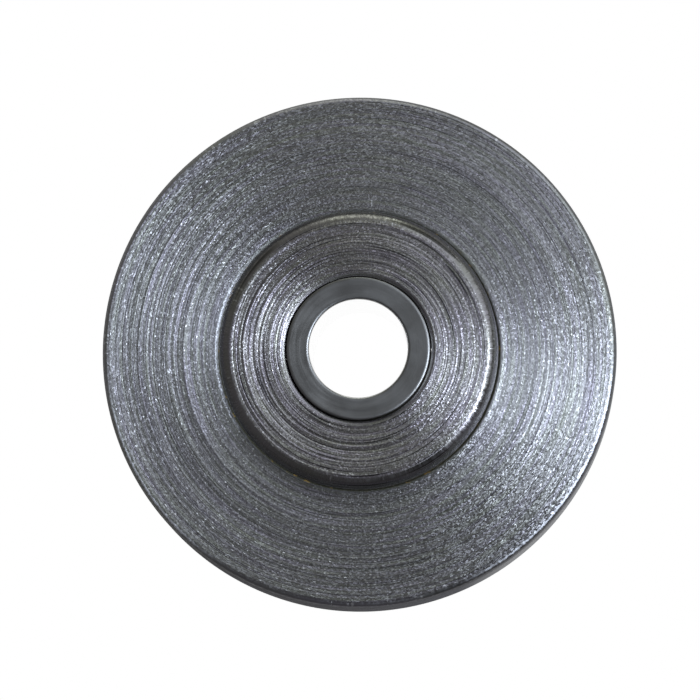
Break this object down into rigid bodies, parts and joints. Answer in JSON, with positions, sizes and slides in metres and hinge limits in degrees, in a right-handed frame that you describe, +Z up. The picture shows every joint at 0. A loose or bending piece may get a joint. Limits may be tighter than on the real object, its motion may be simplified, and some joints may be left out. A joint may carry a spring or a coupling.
{
  "type": "seam roller wheel",
  "caption": "Narrow steel seam roller wheel on a pressed-in turned ball bearing, with a through bore for an axle bolt.",
  "frame": {"origin": "centre of the wheel, on its axle line and midway between its faces", "axes": "+Y along the axle, +Z up; the face that is usually seen looks towards -Y"},
  "size_m": [0.0508, 0.0112, 0.0508],
  "materials": {
    "disc_steel": "fine turned, satin, dark",
    "race_steel": "coarsely turned, bright grooves",
    "sleeve_steel": "smooth satin grey",
    "ball_steel": "polished"
  },
  "bodies": {
    "inner_race": {"inner_race": "sleeve_steel"},
    "roller": {"roller_disc": "disc_steel", "outer_race_front": "race_steel", "outer_race_back": "race_steel"},
    "ball_row": {"ball_1": "ball_steel", "ball_2": "ball_steel", "ball_3": "ball_steel", "ball_4": "ball_steel", "ball_5": "ball_steel", "ball_6": "ball_steel", "ball_7": "ball_steel", "ball_8": "ball_steel", "ball_9": "ball_steel", "ball_10": "ball_steel"}
  },
  "joints": [
    {"name": "wheel_spin", "type": "hinge", "parent": "inner_race", "child": "roller", "pos_m": [0, 0, 0], "axis": [0, 1, 0], "continuous": true},
    {"name": "ball_orbit", "type": "hinge", "parent": "inner_race", "child": "ball_row", "pos_m": [0, 0, 0], "axis": [0, 1, 0], "continuous": true}
  ],
  "couplings": [
    {"joint": "ball_orbit", "follows": "wheel_spin", "ratio": 0.65198}
  ]
}
